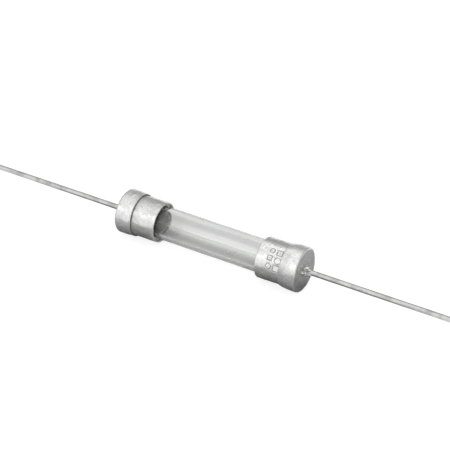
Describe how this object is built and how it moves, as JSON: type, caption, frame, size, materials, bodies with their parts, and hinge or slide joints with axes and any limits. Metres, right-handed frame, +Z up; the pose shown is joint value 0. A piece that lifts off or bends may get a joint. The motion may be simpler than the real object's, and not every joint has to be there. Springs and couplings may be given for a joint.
{
  "type": "cartridge fuse",
  "caption": "Axial-lead glass cartridge fuse: clear tube with a fine fuse wire, plated metal ferrules, lead caps over them and a stiff straight lead on each end.",
  "frame": {"origin": "centre of the fuse, on its axis, half way between the two lead ends", "axes": "+X along the fuse's axis towards the right lead; +Z up, which is any direction square to the axis because the fuse is round"},
  "size_m": [0.1078, 0.007, 0.007],
  "materials": {
    "clear_glass": "clear drawn soda-lime tube with fire-polished ends",
    "fuse_wire_metal": "fine bare silver-plated copper alloy wire",
    "nickel_plate": "drawn brass with satin nickel plate",
    "tin_plate": "drawn brass with satin tin plate",
    "tinned_copper": "smooth bright tinned copper wire",
    "solder": "dull grey soft solder",
    "weld_metal": "rough grey weld with small pits",
    "cement": "matt grey capping cement"
  },
  "bodies": {
    "root": {"glass_tube": "clear_glass", "fuse_wire": "fuse_wire_metal", "left_ferrule": "nickel_plate", "left_solder_plug": "solder", "left_cement_ring": "cement", "left_solder_film": "solder", "left_lead_cap": "tin_plate", "left_lead": "tinned_copper", "left_lead_weld": "weld_metal", "right_ferrule": "nickel_plate", "right_solder_plug": "solder", "right_cement_ring": "cement", "right_solder_film": "solder", "right_lead_cap": "tin_plate", "right_lead": "tinned_copper", "right_lead_weld": "weld_metal"}
  },
  "joints": []
}
